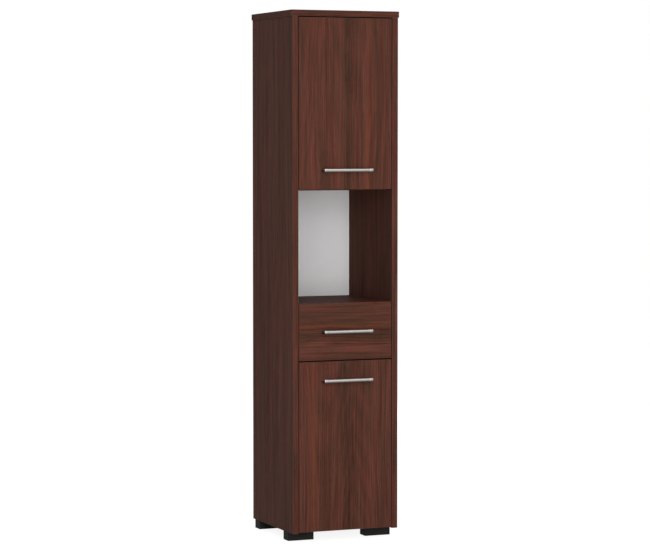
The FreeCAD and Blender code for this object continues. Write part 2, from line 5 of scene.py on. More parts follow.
import bmesh
import bpy
from bpy.props import FloatProperty, FloatVectorProperty, PointerProperty
from mathutils import Matrix, Vector

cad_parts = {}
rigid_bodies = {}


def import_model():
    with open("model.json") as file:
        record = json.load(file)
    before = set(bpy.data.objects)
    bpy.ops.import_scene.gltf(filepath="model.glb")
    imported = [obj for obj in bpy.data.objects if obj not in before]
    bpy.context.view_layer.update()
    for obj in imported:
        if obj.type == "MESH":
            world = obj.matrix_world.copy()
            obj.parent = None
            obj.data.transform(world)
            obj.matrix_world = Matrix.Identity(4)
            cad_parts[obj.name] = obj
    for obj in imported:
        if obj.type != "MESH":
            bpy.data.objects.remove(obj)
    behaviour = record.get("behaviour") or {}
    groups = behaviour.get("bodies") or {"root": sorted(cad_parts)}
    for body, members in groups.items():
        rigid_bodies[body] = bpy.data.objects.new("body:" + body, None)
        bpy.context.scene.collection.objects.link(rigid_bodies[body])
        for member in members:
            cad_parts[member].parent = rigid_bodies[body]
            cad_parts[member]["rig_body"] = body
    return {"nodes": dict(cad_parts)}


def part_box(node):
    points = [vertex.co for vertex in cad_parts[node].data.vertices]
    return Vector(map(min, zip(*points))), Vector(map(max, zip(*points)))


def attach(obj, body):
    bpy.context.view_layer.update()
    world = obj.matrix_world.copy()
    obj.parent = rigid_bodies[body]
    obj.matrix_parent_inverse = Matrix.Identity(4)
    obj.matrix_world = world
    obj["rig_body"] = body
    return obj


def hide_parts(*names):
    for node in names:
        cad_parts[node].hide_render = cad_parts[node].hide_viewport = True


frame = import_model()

bl_info = {
    "name": "Tall bathroom cabinet",
    "version": (1, 0, 0),
    "blender": (4, 5, 0),
    "location": "3D View > Sidebar > Cabinet",
    "description": "Finishes the boards, handles and fittings of a tall bathroom cabinet",
    "category": "Object",
}

X, Y, Z = 0, 1, 2
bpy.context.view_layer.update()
MILLIMETRE = 0.001
SENSOR_WIDTH = 36.0     # in millimetres, as Blender counts a lens


# ---------------------------------------------------------------- boards of the cabinet
# grain and thin are axes, seed picks the stretch of the print, tone is the print's lightness,
# and edge scales that of the edge band. An edge below 1, on the niche ceiling and the drawer
# divider, is painted shade on their recessed front edges, and it also dims their paler edges.
# An orange streak and the darker heart of the figure lie at streak and heart, in metres along
# the axis across the grain.
Board = namedtuple("Board", "node grain thin seed tone edge streak heart",
                   defaults=(1.0, 1.0, None, None))
BOARDS = (
    Board("top_panel", X, Z, 1, 0.87),
    Board("left_side_panel", Z, X, 2, 0.93, 1.07),
    Board("right_side_panel", Z, X, 3, 0.95, 1.05),
    Board("bottom_panel", X, Z, 4),
    # edge 0.45: painted shade on the divider's recessed front edge, in the gap under the drawer
    Board("drawer_divider", X, Z, 5, 1.0, 0.45),
    Board("niche_floor", X, Z, 6),
    # edge 0.45: painted shade on the ceiling's recessed front edge, under the upper door
    Board("niche_ceiling", X, Z, 7, 1.0, 0.45),
    Board("upper_shelf", X, Z, 8),
    Board("lower_shelf", X, Z, 9),
    Board("upper_door_panel", Z, Y, 115, 1.05, 1.0, 0.064, 0.010),
    Board("lower_door_panel", Z, Y, 176, 1.03, 1.0, -0.092, 0.004),
    Board("drawer_front", X, Y, 192, 1.03, 1.0, 0.570, 0.545),
    Board("drawer_left_side", Y, X, 13),
    Board("drawer_right_side", Y, X, 14),
    Board("drawer_back", X, Y, 15),
)


# ---------------------------------------------------------------- what a user can change
def length(name, description, default):
    """A length setting, in metres."""
    return FloatProperty(name=name, description=description, default=default, min=0.0,
                         precision=5, unit="LENGTH", subtype="DISTANCE")


def share(name, description, default):
    """A setting from 0 to 1."""
    return FloatProperty(name=name, description=description, default=default, min=0.0, max=1.0,
                         subtype="FACTOR")


def colour(name, description, default):
    """A colour setting, as linear red, green and blue."""
    return FloatVectorProperty(name=name, description=description, default=default, size=3,
                               min=0.0, max=1.0, subtype="COLOR")


class LaminateSettings(bpy.types.PropertyGroup):
    """The printed wood-grain laminate and the chipboard below it."""

    dark: colour("Dark bands", "Olive brown of the print", (0.066, 0.0330, 0.0220))
    red: colour("Red bands", "Red brown of the print", (0.120, 0.0360, 0.0255))
    orange: colour("Orange streaks", "Brightest streaks of the print", (0.150, 0.045, 0.022))
    # paler rounded edges: partly wear, partly a painted highlight along the arris
    worn_and_highlit: colour("Edges", "Paler rounded edges of the boards", (0.235, 0.135, 0.115))
    core: colour("Chipboard", "Chipboard seen inside a bore", (0.42, 0.29, 0.17))
    skin: length("Skin", "Thickness of the laminate over the chipboard", 0.0003)
    band_width: length("Band width", "Width of the broad bands", 0.028)
    band_run: length("Band run", "Length of the broad bands", 0.85)
    ring_width: length("Ring width", "Distance between the growth lines", 0.011)
    fleck_width: length("Fleck width", "Width of the short dark flecks", 0.0030)
    fibre_width: length("Fibre width", "Width of the fine fibres", 0.0023)
    contrast: FloatProperty(name="Contrast", description="Strength of the light and dark grain",
                            default=1.4, min=0.0)
    warmth: FloatProperty(name="Warmth", description="Strength of the red and olive grain",
                          default=2.3, min=0.0)
    streak_width: length("Streak width", "Width of the orange streak", 0.013)
    heart_width: length("Heart width", "Width of the darker heart of the figure", 0.032)
    pore_width: length("Pore width", "Width of the embossed pores", 0.0007)
    pore_depth: length("Pore depth", "Depth of the embossed pores", 0.00004)
    drift: length("Drift", "How far the grain wanders sideways", 0.010)
    roughness: share("Roughness", "Roughness of the satin laminate", 0.5)
    gloss: share("Gloss", "Specular level of the satin laminate", 0.014)
    # strength of the paler rounded edges, partly wear and partly a painted highlight
    edge_wear_and_highlight: share("Edge wear", "How much paler the rounded edges are", 0.80)


class MetalSettings(bpy.types.PropertyGroup):
    """Handles, hinges, fasteners and runners."""

    satin: colour("Satin metal", "Brushed metal of the handles", (0.50, 0.475, 0.46))
    nickel: colour("Nickel", "Nickel-plated steel of the hinges", (0.62, 0.60, 0.56))
    zinc: colour("Zinc", "Zinc-plated steel of screws and nails", (0.66, 0.67, 0.68))
    alloy: colour("Zinc alloy", "Die-cast cam locks", (0.52, 0.52, 0.52))
    enamel: colour("Enamel", "Coated steel of the runners", (0.74, 0.74, 0.71))
    brush_width: length("Brush lines", "Width of the brush lines", 0.00025)
    satin_roughness: share("Satin roughness", "Roughness of the handles", 0.34)


class PlainSettings(bpy.types.PropertyGroup):
    """Hardboard, plastics and beech."""

    white: colour("White face", "White lacquer of the hardboard", (0.80, 0.80, 0.80))
    fibre: colour("Brown face", "Bare back of the hardboard", (0.21, 0.115, 0.055))
    mesh_pitch: length("Mesh pitch", "Pitch of the mesh pressed in the bare face", 0.0016)
    black: colour("Black plastic", "Moulded plastic of the feet", (0.0255, 0.0255, 0.0240))
    grain_size: length("Mould grain", "Grain of the moulded plastic", 0.0006)
    nylon: colour("Nylon", "White nylon of the rollers", (0.78, 0.77, 0.73))
    beech: colour("Beech", "Turned beech of the dowels", (0.56, 0.37, 0.20))


class ScrewSettings(bpy.types.PropertyGroup):
    """Shapes of the cross-head screws."""

    pitch: length("Thread pitch", "Distance between the threads", 0.0014)
    thread: length("Thread depth", "Depth of the threads", 0.00045)
    point: length("Point", "Length of a wood screw's point", 0.004)
    arm: share("Recess arm", "Cross recess, as a share of the head's radius", 0.56)
    web: share("Recess web", "Width of its arms, as a share of the head's radius", 0.24)


class StageSettings(bpy.types.PropertyGroup):
    """Floor, light and camera."""

    floor_size: length("Floor", "Side of the square floor", 30.0)
    camera_place: FloatVectorProperty(name="Camera", description="Where the camera stands",
                                      default=(-2.5182, -6.1594, 1.0693), size=3, unit="LENGTH",
                                      subtype="TRANSLATION")
    camera_turn: FloatProperty(name="Turn", description="Camera turned right of straight ahead",
                               default=math.radians(22.214), unit="ROTATION", subtype="ANGLE")
    camera_tilt: FloatProperty(name="Tilt", description="Camera tilted down",
                               default=math.radians(3.208), unit="ROTATION", subtype="ANGLE")
    lens: FloatProperty(name="Lens", description="Focal length on a 36 mm sensor",
                        default=137.16, unit="CAMERA")
    sky: share("Sky", "Strength of the even light from all round", 0.334)
    light_level: FloatProperty(name="Light level", description="Scales every softbox",
                               default=1.0, min=0.0)


# ---------------------------------------------------------------- studio lights
# the bearing is counted from straight in front, to the right
Softbox = namedtuple("Softbox", "name bearing height distance size power")
SOFTBOXES = (
    Softbox("main", -22.0, 1.1, 3.2, 2.0, 42.7),
    Softbox("upper_left", -15.0, 2.1, 3.0, 1.2, 7.1),
    Softbox("middle", 0.0, 1.4, 3.0, 1.2, 7.8),
    Softbox("low", -5.0, 0.5, 3.0, 1.2, 14.9),
    Softbox("rear", 140.0, 1.3, 3.2, 2.0, 42.0),
)
LIT_HEIGHT = 0.75       # the height that the softboxes are aimed at
FRONT_PLANE = -0.15     # their distance is counted from here
PALE_FLOOR = 0.80       # the floor as the cabinet is lit by it
SEEN_FLOOR, FLOOR_GLOW = 0.35, 0.885    # the floor as it is seen, white where no shadow falls


# ---------------------------------------------------------------- shader expressions
# the sockets of a Mix node that mixes colours: three inputs and its output
MIX_FACTOR, MIX_FIRST, MIX_SECOND, MIX_COLOUR = 0, 6, 7, 2
NOISE_LOW, NOISE_HIGH = 0.3, 0.7    # most of a noise lies between these
OCTAVE_STEP = 2.1                   # how much finer each octave of a noise is


class Value:
    """A socket of a node tree. Arithmetic on it adds Math nodes."""

    def __init__(self, tree, socket):
        self.tree = tree
        self.socket = socket

    def output(self, name):
        """Another output of the same node."""
        return Value(self.tree, self.socket.node.outputs[name])

    def maths(self, operation, *operands):
        return self.tree.node("ShaderNodeMath", {"operation": operation},
                              dict(enumerate(operands)))

    def __add__(self, other):
        return self.maths("ADD", self, other)

    def __radd__(self, other):
        return self.maths("ADD", other, self)

    def __sub__(self, other):
        return self.maths("SUBTRACT", self, other)

    def __rsub__(self, other):
        return self.maths("SUBTRACT", other, self)

    def __mul__(self, other):
        return self.maths("MULTIPLY", self, other)

    def __rmul__(self, other):
        return self.maths("MULTIPLY", other, self)

    def __abs__(self):
        return self.maths("ABSOLUTE", self)

    def __gt__(self, other):
        return self.maths("GREATER_THAN", self, other)

    def least(self, other):
        return self.maths("MINIMUM", self, other)

    def most(self, other):
        return self.maths("MAXIMUM", self, other)

    def sine(self):
        return self.maths("SINE", self)


class Tree:
    """Adds nodes to one node tree."""

    def __init__(self, tree):
        self.tree = tree
        tree.nodes.clear()

    def node(self, kind, settings=None, inputs=None, output=0):
        """Add a node: its settings first, then the values or links of its sockets."""
        node = self.tree.nodes.new(kind)
        for name, value in (settings or {}).items():
            setattr(node, name, value)
        for name, value in (inputs or {}).items():
            if isinstance(value, Value):
                self.tree.links.new(value.socket, node.inputs[name])
            else:
                node.inputs[name].default_value = value
        return Value(self, node.outputs[output] if len(node.outputs) else None)

    def point(self):
        """The point in the frame's coordinates, in metres. Its normal is another output."""
        return self.node("ShaderNodeTexCoord", output="Object")

    def split(self, vector, name="X"):
        """One number of a vector. The others are further outputs."""
        return self.node("ShaderNodeSeparateXYZ", {}, {"Vector": vector}, name)

    def vector(self, operation, first, second):
        """Vector Math on two vectors."""
        return self.node("ShaderNodeVectorMath", {"operation": operation},
                         {0: first, 1: second})

    def mix(self, factor, first, second, blend="MIX"):
        """A colour between two, by a factor from 0 to 1."""
        return self.node("ShaderNodeMix", {"data_type": "RGBA", "blend_type": blend},
                         {MIX_FACTOR: factor, MIX_FIRST: first, MIX_SECOND: second}, MIX_COLOUR)

    def noise(self, vector, detail=2.0, roughness=0.5, output="Fac"):
        """Noise whose cells are one unit wide in the given vector."""
        return self.node("ShaderNodeTexNoise", {"noise_dimensions": "3D"},
                         {"Vector": vector, "Scale": 1.0, "Detail": detail,
                          "Roughness": roughness, "Lacunarity": OCTAVE_STEP}, output)

    def specks(self, vector, cells, detail=2.0, roughness=0.5):
        """Noise with so many cells to the metre, one number for all axes or one for each."""
        cells = cells if isinstance(cells, tuple) else (cells,) * 3
        return self.noise(self.vector("MULTIPLY", vector, cells), detail, roughness)

    def spread(self, value, low=NOISE_LOW, high=NOISE_HIGH):
        """A value stretched smoothly so that low becomes 0 and high becomes 1."""
        return self.node("ShaderNodeMapRange", {"interpolation_type": "SMOOTHSTEP"},
                         {"Value": value, "From Min": low, "From Max": high})

    def bump(self, height, distance):
        """A Bump node whose full height is a real distance."""
        return self.node("ShaderNodeBump", {}, {"Height": height, "Distance": distance,
                                                "Strength": 1.0})


def solid(linear):
    """A colour with its alpha."""
    return (*linear, 1.0)


def grey(level):
    """A grey with its alpha."""
    return (level, level, level, 1.0)


def shade(linear, factor):
    """A colour made darker or lighter."""
    return (*(min(1.0, channel * factor) for channel in linear), 1.0)


def clouded(tree, noise, linear, dark, light):
    """A colour that a noise makes darker and lighter, by two factors."""
    return tree.mix(tree.spread(noise), shade(linear, dark), shade(linear, light))


def new_material(name):
    """An empty material and its tree."""
    material = bpy.data.materials.new(name)
    material.use_nodes = True
    return material, Tree(material.node_tree)


def finish_material(tree, tint, roughness, normal, metallic=0.0, gloss=0.5):
    """The surface shader and the material's output."""
    surface = tree.node("ShaderNodeBsdfPrincipled", {},
                        {"Base Color": tint, "Roughness": roughness, "Normal": normal,
                         "Metallic": metallic, "Specular IOR Level": gloss})
    tree.node("ShaderNodeOutputMaterial", {}, {"Surface": surface})


def cover(material, *nodes):
    """Give carried-over nodes their finish."""
    for node in nodes:
        for slot in frame["nodes"][node].material_slots:
            slot.material = material


# ---------------------------------------------------------------- laminate
# steps on the roll of print, in metres: from board to board, from one of a board's axes to
# the next, and from its faces to its edge band
BOARD_STEP, AXIS_STEP, EDGE_STEP = 0.731, 0.13, 0.417
BROAD = 0.7             # the normal of a broad face has more than this along the thickness
# the normal's largest number is above the first of these on a flat face, and below the second
# on the round of an edge
FLAT, ROUND = 0.985, 0.80
WANDER_WIDTH, WANDER_RUN = 0.12, 0.30   # the grain wanders from side to side over these
GROWTH_LINES = 24.0     # while their noise goes from 0 to 1, which takes about two cells
HEART_DRIFT = 2.2       # how much further the grain wanders in the heart of the figure
# what each mark adds to the lightness and to the redness of the print
Mark = namedtuple("Mark", "lightness redness", defaults=(0.0,))
GROWTH = Mark(0.08, 0.16)
FIBRE = Mark(0.46, 1.8)
FLECK = Mark(-0.12)
PORE = Mark(-0.15)
HEART = Mark(-0.09, -0.15)
HEART_FLECK = Mark(-0.06)
ORANGE = 0.6            # strength of the orange streaks
BARE = 1.4              # at this many skins below a face the laminate has ended
CHIPS_PER_METRE, CHIP_TINT = 900.0, 0.35


def stretched(width, grain, run):
    """Scales that make a cell of noise as wide as given across the grain, and as long as
    the run along it."""
    scale = [1.0 / width] * 3
    scale[grain] = 1.0 / run
    return tuple(scale)


def depth_below_faces(tree, point, node):
    """How deep a point of a board lies below the nearest of its six faces."""
    low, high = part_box(node)
    place = tree.split(point)
    depth = None
    for axis, name in enumerate("XYZ"):
        here = place.output(name)
        nearest = (here - low[axis]).least(high[axis] - here)
        depth = nearest if depth is None else depth.least(nearest)
    return depth


def ridge(tree, point, axis, middle, width):
    """1 at a place on an axis, falling smoothly to 0 at a width from it on both sides."""
    return tree.spread(abs(tree.split(point, "XYZ"[axis]) - middle), width, 0.0)


def chipboard(tree, point, look):
    """Chips of many colours round the colour of the core."""
    chips = tree.node("ShaderNodeTexVoronoi", {"feature": "F1"},
                      {"Vector": point, "Scale": CHIPS_PER_METRE, "Randomness": 1.0}, "Color")
    return tree.mix(CHIP_TINT, solid(look.core), chips, "OVERLAY")


def laminate(board, look):
    """Wood-grain laminate with its own stretch of the print on each board."""
    material, tree = new_material(board.node + "_laminate")
    point = tree.point()
    normal = tree.split(point.output("Normal"))
    facing = [abs(normal.output(name)) for name in "XYZ"]
    edge = 1.0 - (facing[board.thin] > BROAD)
    arris = tree.spread(facing[X].most(facing[Y]).most(facing[Z]), FLAT, ROUND)

    # the edge band is cut from another part of the roll
    roll = tuple(BOARD_STEP * board.seed + AXIS_STEP * axis for axis in (X, Y, Z))
    place = tree.vector("ADD", point, roll)
    shift = tree.node("ShaderNodeCombineXYZ", {}, {name: edge * EDGE_STEP for name in "XYZ"})
    place = tree.vector("ADD", place, shift)

    # the grain wanders slowly from side to side, and more in the heart of the figure
    slow = tree.vector("MULTIPLY", place, stretched(WANDER_WIDTH, board.grain, WANDER_RUN))
    wander = tree.vector("SUBTRACT", tree.noise(slow, 1.0, output="Color"), (0.5, 0.5, 0.5))
    across = 3 - board.grain - board.thin
    drift = look.drift
    if board.heart is not None:
        heart = ridge(tree, point, across, board.heart, look.heart_width)
        drift = look.drift + heart * (HEART_DRIFT * look.drift)
    sideways = tree.node("ShaderNodeCombineXYZ", {}, {"XYZ"[across]: drift})
    wander = tree.vector("MULTIPLY", wander, sideways)
    bent = tree.vector("ADD", point, wander)
    place = tree.vector("ADD", place, wander)

    def grain(width, run, detail=2.0, roughness=0.5):
        """Noise along the grain, with a second one in its Green output."""
        scaled = tree.vector("MULTIPLY", place, stretched(width, board.grain, run))
        noise = tree.noise(scaled, detail, roughness, "Color")
        return tree.node("ShaderNodeSeparateColor", {}, {"Color": noise}, "Red")

    def mark(width, run, low, high):
        """0 where noise along the grain is under low, and 1 where it is over high."""
        return tree.spread(grain(width, run, detail=1.0), low, high)

    # every octave of the figure is about as strong, from broad bands to fine streaks
    figure = grain(look.band_width, look.band_run, detail=4.5, roughness=0.92)
    streak, hue = figure - 0.5, figure.output("Green") - 0.5
    lines = grain(look.ring_width * GROWTH_LINES / 2, run=1.5, detail=1.0)
    ring = (lines * (2.0 * math.pi * GROWTH_LINES)).sine() * 0.5
    fleck = mark(look.fleck_width, run=0.030, low=0.56, high=0.70)
    strand = grain(look.fibre_width, run=0.24, detail=3.0, roughness=0.6)
    fibre = tree.spread(strand)
    pore = mark(look.pore_width, run=0.016, low=0.60, high=0.72)
    glow = mark(look.band_width / 2, run=0.5, low=0.64, high=0.84)

    lightness = (board.tone + streak * look.contrast + ring * GROWTH.lightness
                 + (fibre - 0.5) * FIBRE.lightness + fleck * FLECK.lightness
                 + pore * PORE.lightness)
    redness = (0.5 + hue * look.warmth + ring * GROWTH.redness
               + (strand.output("Green") - 0.5) * FIBRE.redness)
    if board.heart is not None:
        heart = ridge(tree, bent, across, board.heart, look.heart_width)
        lightness = lightness + heart * (HEART.lightness + fleck * HEART_FLECK.lightness)
        redness = redness + heart * HEART.redness
    if board.streak is not None:
        along = grain(look.streak_width, run=0.7, detail=3.0, roughness=0.7)
        stripe = ridge(tree, bent, across, board.streak, look.streak_width)
        glow = glow.most(stripe * tree.spread(along, high=0.62))
    # edge faces take the board's edge factor; below 1 it is painted shade on a recessed front
    # edge
    lightness = lightness * (1.0 - edge * (1.0 - board.edge))
    redness = redness.most(0.0).least(1.0)
    tint = tree.mix(redness, solid(look.dark), solid(look.red))
    tint = tree.mix(glow * ORANGE, tint, solid(look.orange))
    shading = tree.node("ShaderNodeCombineXYZ", {}, {name: lightness for name in "XYZ"})
    tint = tree.mix(1.0, tint, shading, "MULTIPLY")
    # paler rounded edges: partly wear, partly a painted highlight along the arris, dimmed where
    # the edge factor is below 1
    tint = tree.mix(arris * (look.edge_wear_and_highlight * min(1.0, board.edge)), tint, solid(look.worn_and_highlit))

    # chipboard shows wherever a bore or groove passes the laminate skin
    depth = depth_below_faces(tree, point, board.node)
    bare = tree.spread(depth, look.skin, look.skin * BARE)
    tint = tree.mix(bare, tint, chipboard(tree, point, look))

    rough = look.roughness + pore * 0.18 + arris * 0.1 - streak * 0.2
    finish_material(tree, tint, rough.most(bare * 0.9),
                    tree.bump(fibre * 0.3 - pore, look.pore_depth), gloss=look.gloss)
    return material


# ---------------------------------------------------------------- other finishes
def hardboard(look):
    """White lacquer in front, bare brown fibre with its pressed mesh behind and on the edges."""
    material, tree = new_material("white_hardboard")
    point = tree.point()
    normal = tree.split(point.output("Normal"))
    # the white face looks out of the niche and up out of the drawer
    white = (normal.output("Z") - normal.output("Y")) > 0.5
    place = tree.split(point)
    wave = 2.0 * math.pi / look.mesh_pitch
    mesh = ((place.output("X") * wave).sine() * (place.output("Z") * wave).sine()) * 0.5 + 0.5
    fuzz = tree.specks(point, 1400.0, detail=3.0)
    blotch = tree.specks(point, 16.0, detail=3.0)
    cloud = tree.specks(point, (9.0, 9.0, 7.0), detail=6.0, roughness=0.72)
    clump = tree.spread(tree.specks(point, 240.0), 0.55, 0.72)
    brown = tree.mix(mesh * 0.45 + fuzz * 0.35, shade(look.fibre, 1.25), shade(look.fibre, 0.6))
    brown = tree.mix(tree.spread(cloud, 0.36, 0.64), shade(look.fibre, 0.74), brown)
    brown = tree.mix(clump * 0.5, brown, shade(look.fibre, 0.45))
    peel = tree.specks(point, 450.0)
    lacquer = tree.mix(tree.spread(blotch, 0.35, 0.65) * 0.5, solid(look.white),
                       shade(look.white, 0.965))
    rough = 0.85 - white * 0.42 + peel * 0.06
    height = white * (peel * 0.3) + (1.0 - white) * (mesh * 0.7 + fuzz * 0.6)
    finish_material(tree, tree.mix(white, brown, lacquer), rough,
                    tree.bump(height, 0.06 * MILLIMETRE))
    return material


def brushed_bar(node, metal, roughness, line_width):
    """Metal brushed along the bar of a handle, with painted shade where the bar rounds off
    below.
    """
    material, tree = new_material(node + "_satin")
    point = tree.point()
    low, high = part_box(node)
    middle = (low[Z] + high[Z]) / 2
    # 1 on the upper part of the bar, falling to 0 towards its lower edge, where the shade is
    # painted
    clear_of_painted_shade = tree.spread(tree.split(point, "Z"), low[Z] + 1.0 * MILLIMETRE,
                        middle + 2.5 * MILLIMETRE)
    lines = tree.specks(point, stretched(line_width, X, run=0.012), roughness=0.6)
    cloud = tree.specks(point, 60.0)
    tint = clouded(tree, lines, metal, 0.92, 1.08)
    # painted shade: below its upper part the bar's colour fades to a fifth, standing in for the
    # shaded underside of the round bar
    tint = tree.mix(clear_of_painted_shade, shade(metal, 0.20), tint)
    rough = roughness + (lines - 0.5) * 0.22 + (cloud - 0.5) * 0.08
    finish_material(tree, tint, rough, tree.bump(lines, 0.004 * MILLIMETRE), metallic=1.0)
    return material


def plated_metal(name, metal, roughness, spot_size):
    """Plated metal with faint cloudy patches and a fine grain."""
    material, tree = new_material(name)
    point = tree.point()
    spots = tree.specks(point, 1.0 / spot_size, detail=3.0, roughness=0.6)
    grit = tree.specks(point, 5200.0)
    rough = roughness + (spots - 0.5) * 0.12 + (grit - 0.5) * 0.10
    height = grit * 0.6 + spots * 0.4
    finish_material(tree, clouded(tree, spots, metal, 0.94, 1.04), rough,
                    tree.bump(height, 0.006 * MILLIMETRE), metallic=1.0)
    return material


def moulded(name, plastic, roughness, grain_size, relief, gloss=0.5):
    """Moulded plastic or enamel with a fine grain."""
    material, tree = new_material(name)
    point = tree.point()
    grain = tree.node("ShaderNodeTexVoronoi", {"feature": "SMOOTH_F1"},
                      {"Vector": point, "Scale": 1.0 / grain_size, "Smoothness": 0.6},
                      "Distance")
    cloud = tree.specks(point, 45.0, detail=3.0)
    finish_material(tree, clouded(tree, cloud, plastic, 0.92, 1.1),
                    roughness + (cloud - 0.5) * 0.14, tree.bump(grain, relief), gloss=gloss)
    return material


def turned_beech(look):
    """Short-grained pale wood with flecks."""
    material, tree = new_material("turned_beech")
    point = tree.point()
    lines = tree.specks(point, (120.0, 900.0, 900.0), detail=3.0, roughness=0.6)
    fleck = tree.spread(tree.specks(point, (500.0, 2200.0, 2200.0), detail=1.0), 0.58, 0.70)
    tint = clouded(tree, lines, look.beech, 0.8, 1.12)
    tint = tree.mix(fleck * 0.6, tint, shade(look.beech, 0.5))
    finish_material(tree, tint, 0.72 - fleck * 0.1, tree.bump(lines, 0.03 * MILLIMETRE))
    return material


# ---------------------------------------------------------------- screws
Screw = namedtuple("Screw", "top out length head_radius head_height shank_radius")
GOLDEN_TURN = 2.399963      # the golden angle, so that each screw is left at another turn
WELD = 0.01 * MILLIMETRE    # corners nearer than this are one
SIDES, THREAD_STEPS = 20, 5
# the head from its flat top down to its rim, as shares of its radius and height
DOME = ((0.66, 0.0), (0.84, 0.09), (0.95, 0.30), (1.0, 0.58), (1.0, 0.92), (0.97, 1.0))
NECK = 0.86                 # of the shank's radius, below the head
# the end of a wood screw and of a machine screw, first near the middle of its point and then
# at its tip, as shares of the shank's radius
POINTED, BLUNT = (0.45, 0.12), (0.8, 0.72)
CHAMFER = 0.3 * MILLIMETRE  # the length of a machine screw's point
# the floor of the recess, as shares of its mouth's arm and web and of the head's height
FLOOR_ARM, FLOOR_WEB, FLOOR_DEPTH = 0.6, 0.7, 0.9


def loose_parts(node):
    """The vertex places of each separate solid of a node."""
    mesh = bmesh.new()
    mesh.from_mesh(frame["nodes"][node].data)
    bmesh.ops.remove_doubles(mesh, verts=mesh.verts, dist=WELD)
    parts, seen = [], set()
    for first in mesh.verts:
        if first in seen:
            continue
        seen.add(first)
        part, waiting = [], [first]
        while waiting:
            vertex = waiting.pop()
            part.append(vertex.co.copy())
            for link in vertex.link_edges:
                other = link.other_vert(vertex)
                if other not in seen:
                    seen.add(other)
                    waiting.append(other)
        parts.append(part)
    mesh.free()
    return parts


def measure_screw(part):
    """A screw's place, direction and sizes, from the solid that stands for it."""
    low = Vector(min(p[i] for p in part) for i in (X, Y, Z))
    high = Vector(max(p[i] for p in part) for i in (X, Y, Z))
    middle = (low + high) / 2
    spans = high - low
    axis = max((X, Y, Z), key=lambda i: spans[i])
    across = [i for i in (X, Y, Z) if i != axis]
    head_radius = max(spans[i] for i in across) / 2

    def radius(p):
        return math.hypot(*(p[i] - middle[i] for i in across))

    rim = [p[axis] for p in part if radius(p) > 0.9 * head_radius]
    sign = 1.0 if sum(rim) / len(rim) > middle[axis] else -1.0
    shank = [radius(p) for p in part if (p[axis] - middle[axis]) * sign < 0]
    top = middle.copy()
    top[axis] = high[axis] if sign > 0 else low[axis]
    out = Vector((0.0, 0.0, 0.0))
    out[axis] = sign
    return Screw(top, out, spans[axis], head_radius, max(rim) - min(rim), max(shank))


def ring_of(mesh, radius, height):
    """A ring of vertices. The radius is a length, or a function of the angle."""
    ring = []
    for side in range(SIDES):
        angle = 2.0 * math.pi * side / SIDES
        reach = radius(angle) if callable(radius) else radius
        ring.append(mesh.verts.new((reach * math.cos(angle), reach * math.sin(angle), height)))
    return ring


def bridge(mesh, first, second):
    """Faces between two rings of equal count."""
    count = len(first)
    for i in range(count):
        j = (i + 1) % count
        mesh.faces.new((first[i], first[j], second[j], second[i]))


def cross_outline(arm, web):
    """The corners of a cross, anticlockwise."""
    quarter = ((arm, -web), (arm, web), (web, web))
    return [(x * c - y * s, x * s + y * c)
            for c, s in ((1, 0), (0, 1), (-1, 0), (0, -1)) for x, y in quarter]


def add_outline(mesh, corners, height):
    """Vertices along an outline at one height."""
    return [mesh.verts.new((x, y, height)) for x, y in corners]


def closed_edges(mesh, loop):
    """The edges round a loop of vertices, made where there are none."""
    return [mesh.edges.get(pair) or mesh.edges.new(pair)
            for pair in zip([loop[-1], *loop[:-1]], loop)]


def screw_mesh(screw, look, pointed):
    """A domed head with a cross recess over a threaded shank. The head's top is at the
    origin and the shank runs down from it."""
    mesh = bmesh.new()
    head, tall = screw.head_radius, screw.head_height
    rings = [ring_of(mesh, head * radius, -tall * depth) for radius, depth in DOME]
    rings.append(ring_of(mesh, screw.shank_radius * NECK, -tall))
    end = -screw.length
    point = look.point if pointed else CHAMFER
    runs = max(2, round((screw.length - tall - point) / look.pitch * THREAD_STEPS))
    for run in range(1, runs + 1):
        z = -tall + (end + point + tall) * run / runs

        def thread(angle, z=z):
            turn = (-z / look.pitch + angle / (2.0 * math.pi)) % 1.0
            crest = max(0.0, 1.0 - abs(turn - 0.5) * 4.0)
            return screw.shank_radius - look.thread * (1.0 - crest)

        rings.append(ring_of(mesh, thread, z))
    shoulder, tip = POINTED if pointed else BLUNT
    rings.append(ring_of(mesh, screw.shank_radius * shoulder, end + point * 0.45))
    rings.append(ring_of(mesh, screw.shank_radius * tip, end))
    for first, second in zip(rings, rings[1:]):
        bridge(mesh, second, first)
    mesh.faces.new(rings[-1][::-1])

    # the recess narrows towards its floor
    arm, web = head * look.arm, head * look.web / 2
    mouth = add_outline(mesh, cross_outline(arm, web), 0.0)
    floor = add_outline(mesh, cross_outline(arm * FLOOR_ARM, web * FLOOR_WEB),
                        -tall * FLOOR_DEPTH)
    rims = closed_edges(mesh, rings[0]) + closed_edges(mesh, mouth)
    bmesh.ops.triangle_fill(mesh, edges=rims, use_beauty=True)
    bridge(mesh, mouth, floor)
    mesh.faces.new(floor)
    bmesh.ops.recalc_face_normals(mesh, faces=mesh.faces)
    return mesh


def make_screws(node, piece_name, look, material, pointed=True):
    """One piece with all the screws of a node, in their places."""
    merged = bpy.data.meshes.new(piece_name)
    whole = bmesh.new()
    for index, part in enumerate(loose_parts(node)):
        screw = measure_screw(part)
        single = screw_mesh(screw, look, pointed)
        turn = Matrix.Rotation(index * GOLDEN_TURN, 4, "Z")
        aim = Vector((0.0, 0.0, 1.0)).rotation_difference(screw.out).to_matrix().to_4x4()
        single.transform(Matrix.Translation(screw.top) @ aim @ turn)
        single.to_mesh(merged)
        single.free()
        whole.from_mesh(merged)
        merged.clear_geometry()
    whole.to_mesh(merged)
    whole.free()
    merged.shade_smooth()
    merged.set_sharp_from_angle(angle=math.radians(35.0))
    merged.materials.append(material)
    piece = bpy.data.objects.new(piece_name, merged)
    bpy.context.scene.collection.objects.link(piece)
    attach(piece, frame["nodes"][node]["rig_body"])
    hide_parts(node)
    return piece


